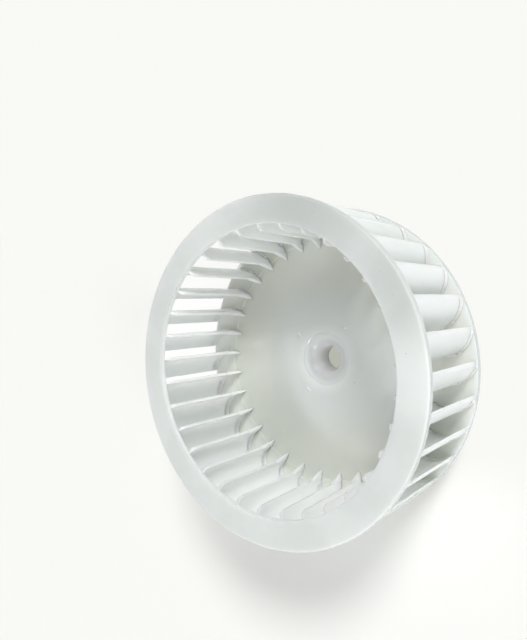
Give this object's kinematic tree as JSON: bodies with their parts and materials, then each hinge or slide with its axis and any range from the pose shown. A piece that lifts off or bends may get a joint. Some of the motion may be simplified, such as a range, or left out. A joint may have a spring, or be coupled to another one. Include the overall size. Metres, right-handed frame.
{
  "type": "dryer fan",
  "caption": "White plastic squirrel-cage blower wheel for a clothes dryer: curved blades between an open front ring and a closed back plate with a split shaft collar.",
  "frame": {"origin": "centre of the collar's rear end, where the motor shaft enters; also the lowest point of the wheel lying on its collar", "axes": "+Z along the shaft axis from the collar to the open front ring, +X through the root of one blade"},
  "size_m": [0.2, 0.2, 0.0866],
  "materials": {
    "back_plate": "smooth natural white plastic, glossy inside",
    "blade_cage": "smooth natural white plastic, satin ring face"
  },
  "bodies": {
    "root": {"back_plate": "back_plate", "blade_cage": "blade_cage"}
  },
  "joints": []
}
